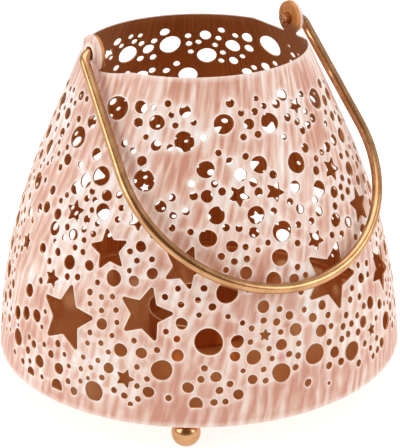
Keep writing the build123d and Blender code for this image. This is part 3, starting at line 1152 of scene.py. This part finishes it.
def pink_wash():
    """Pink lacquer under a white wash, brushed on in strokes, calmer and paler round the cut-outs, with a
    painted shade towards the bottom edge.
    """
    start_level = -0.34
    calm_level = 0.46
    calm_share = 0.45
    halo_power = 4.0
    halo_weight = 0.34
    low_shade_height = 45.0
    low_shade_drop = -0.07
    edge_share = 0.6
    pink = new_material("pink_wash")
    wash_at = pink.attribute("wash", "Vector")
    halo_at = pink.attribute("halo", "Fac")
    wave = {
        "Vector": pink.scaled(wash_at, (1.0, 0.3, 0.0)),
        "Scale": 0.075,
        "Distortion": 7.0,
        "Detail": 2.0,
        "Detail Scale": 1.3,
    }
    strokes = pink.add("ShaderNodeTexWave", wave).outputs["Fac"]
    bands = pink.noise(pink.scaled(wash_at, (0.3, 0.06, 0.0)), detail=1.5, distortion=1.0)
    fine = pink.noise(pink.scaled(wash_at, (0.8, 0.14, 0.0)))
    clouds = pink.noise(pink.scaled(wash_at, (0.05, 0.035, 0.0)))
    level = start_level
    cloudy_strokes = pink.math("MULTIPLY", strokes, clouds)
    for share, weight in ((cloudy_strokes, 0.36), (bands, 0.65), (fine, 0.2), (clouds, 0.6)):
        level = pink.math("MULTIPLY_ADD", share, weight, level)
    calm = pink.math("MULTIPLY", halo_at, calm_share)
    level = pink.math("MULTIPLY_ADD", pink.math("SUBTRACT", calm_level, level), calm, level)
    narrow_halo = pink.math("POWER", halo_at, halo_power)
    level = pink.math("MULTIPLY_ADD", narrow_halo, halo_weight, level)
    # painted shade: the wash darkens over the lowest part of the wall
    low_shade = pink.between(pink.part(wash_at, "Y"), 0.0, low_shade_height, low_shade_drop, 0.0)
    level = pink.math("ADD", level, low_shade)
    stops = [(0.3, (206, 146, 125)), (0.45, (222, 177, 158)), (0.6, (238, 210, 196)), (0.8, (248, 241, 237))]
    edge = pink.math("MULTIPLY", pink.attribute("edge", "Fac"), edge_share)
    colour = pink.mix(edge, pink.ramp(level, stops), linear(255, 246, 238))
    relief = pink.bump(level, distance=0.0004, strength=0.6)
    return pink.finish(Base_Color=colour, Normal=relief, Roughness=0.42, IOR=1.5)


def copper_lacquer():
    """Brown gloss of the wall's inside, with upright grain and a painted shade that darkens it towards the
    mouth.
    """
    shade_heights = (60.0, 120.0)
    shade_share = 0.6
    ear_fade = 3.0
    brown = new_material("copper_lacquer")
    wash_at = brown.attribute("wash", "Vector")
    grain = brown.noise(brown.scaled(wash_at, (0.9, 0.03, 0.0)), detail=3.0)
    tone = brown.ramp(grain, [(0.32, (186, 112, 50)), (0.5, (210, 138, 72)), (0.68, (230, 160, 92))])
    height_at = brown.part(wash_at, "Y")
    # painted shade: the inside darkens between these lengths up the wall, and clears again on the ears
    inner_shade = brown.between(height_at, *shade_heights, 0.0, shade_share)
    below_ear = brown.between(height_at, mouth_s, mouth_s + ear_fade, 1.0, 0.0)
    tone = brown.mix(brown.math("MULTIPLY", inner_shade, below_ear), tone, linear(116, 54, 18))
    relief = brown.bump(grain, distance=0.0002, strength=0.5)
    return brown.finish(Base_Color=tone, Normal=relief, Metallic=0.3, Roughness=0.35)


def cloudy(nodes, dull, bright, scale, detail, least_rough, rough_share):
    """Cloud pattern over an object, with its colour and its roughness."""
    at = nodes.add("ShaderNodeTexCoord").outputs["Object"]
    cloud = nodes.noise(at, scale=scale, detail=detail)
    tone = nodes.ramp(cloud, [(0.35, dull), (0.65, bright)])
    return at, cloud, tone, nodes.math("MULTIPLY_ADD", cloud, rough_share, least_rough)


def floor_lacquer():
    """Brown gloss of the floor plate."""
    brown = new_material("floor_lacquer")
    _, _, tone, rough = cloudy(
        brown, (222, 144, 78), (234, 160, 92), scale=60.0, detail=3.0, least_rough=0.14, rough_share=0.08)
    return brown.finish(Base_Color=tone, Metallic=0.6, Roughness=rough)


def cup_lacquer():
    """Brown gloss of the cup, in a painted shade darker than the floor's, with a painted highlight along its
    rim.
    """
    highlight_start = 0.45
    highlight_end = 0.15
    brown = new_material("cup_lacquer")
    # painted shade: the cup's tones are darker than the floor's, on the same lacquer
    at, _, tone, rough = cloudy(
        brown, (186, 114, 54), (204, 130, 68), scale=90.0, detail=3.0, least_rough=0.18, rough_share=0.1)
    # painted highlight: a pale band just under the top of the rolled rim
    rim_highlight = brown.between(brown.part(at, "Z"), (cup_rim - highlight_start) * MM, (cup_rim - highlight_end) * MM)
    tone = brown.mix(rim_highlight, tone, linear(236, 184, 132))
    return brown.finish(Base_Color=tone, Metallic=0.6, Roughness=rough)


def gold_lacquer(name, dull, bright, least_rough):
    """Satin gold over iron, a little cloudy."""
    gold = new_material(name)
    _, cloud, tone, rough = cloudy(
        gold, dull, bright, scale=160.0, detail=2.0, least_rough=least_rough, rough_share=0.08)
    relief = gold.bump(cloud, distance=0.00002, strength=0.2)
    return gold.finish(Base_Color=tone, Normal=relief, Metallic=1.0, Roughness=rough)


# Pieces, and what each stands for
wall = make_wall()
plate = make_plate()
cup = make_cup()
feet = [make_foot(number) for number in range(foot_count)]
bail = make_bail()

wall.data.materials.append(pink_wash())
wall.data.materials.append(copper_lacquer())
plate.data.materials.append(floor_lacquer())
cup.data.materials.append(cup_lacquer())
feet_gold = gold_lacquer("feet_gold", (194, 146, 102), (212, 164, 118), 0.18)
for foot in feet:
    foot.data.materials.append(feet_gold)
bail.data.materials.append(gold_lacquer("wire_gold", (186, 138, 94), (210, 162, 116), 0.22))

for piece, body, node, slot in (
    (wall, "lantern", "shell", "wall"),
    (plate, "lantern", "base_plate", "floor"),
    (cup, "lantern", "tealight_cup", "floor"),
    (feet[0], "lantern", "foot_1", "gold"),
    (feet[1], "lantern", "foot_2", "gold"),
    (feet[2], "lantern", "foot_3", "gold"),
    (bail, "bail", "bail", "gold"),
):
    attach(piece, body)
    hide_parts(node)

# Floor and light, in metres and watts
white = (1, 1, 1, 1)
ground_half = 4.0
ground_colour = (0.4, 0.4, 0.4, 1)
ground_corners = ((-1, -1), (1, -1), (1, 1), (-1, 1))
world_strength = 0.54
dark_start = 0.55  # the studio is darker and warmer towards the camera's side
dark_end = 0.9
dark_colour = (0.32, 0.16, 0.07, 1)
# Softboxes: place, aim, width and height, power
softboxes = {
    "left_box": ((-0.96, 0.05, 0.5), (0, 0, 0.06), (0.7, 0.55), 3.8),
    "right_box": ((0.59, -0.77, 0.5), (0, 0, 0.06), (0.7, 0.55), 3.45),
    "top_box": ((0.0, 0.1, 1.1), (0, 0, 0.05), (0.9, 0.9), 5),
}


def make_ground():
    mesh = bpy.data.meshes.new("ground")
    mesh.from_pydata([(x * ground_half, y * ground_half, 0) for x, y in ground_corners], [], [(0, 1, 2, 3)])
    paper = new_material("paper")
    paper.finish(Base_Color=ground_colour, Roughness=0.9)
    mesh.materials.append(paper.finish(Emission_Color=white, Emission_Strength=0.84))
    return add_object("ground", mesh)


def make_world():
    """White studio, darker and warmer behind the camera."""
    world = bpy.data.worlds.new("studio")
    bpy.context.scene.world = world
    studio = Nodes(world, "Background")
    look = studio.add("ShaderNodeTexCoord").outputs["Generated"]
    values = {0: look, 1: Vector(camera_place).normalized()}
    toward = studio.add("ShaderNodeVectorMath", values, operation="DOT_PRODUCT").outputs["Value"]
    colour = studio.ramp(toward, [(dark_start, white), (dark_end, dark_colour)])
    studio.finish(Color=colour, Strength=world_strength)


def make_softbox(name, place_at, aim_at, size, power):
    lamp = bpy.data.lights.new(name, "AREA")
    lamp.shape = "RECTANGLE"
    lamp.size, lamp.size_y = size
    lamp.energy = power
    softbox = add_object(name, lamp)
    softbox.location = place_at
    softbox.rotation_mode = "QUATERNION"
    softbox.rotation_quaternion = (Vector(aim_at) - Vector(place_at)).to_track_quat("-Z", "Y")


ground = make_ground()
make_world()
for name, values in softboxes.items():
    make_softbox(name, *values)
bpy.context.scene.view_settings.view_transform = "Standard"
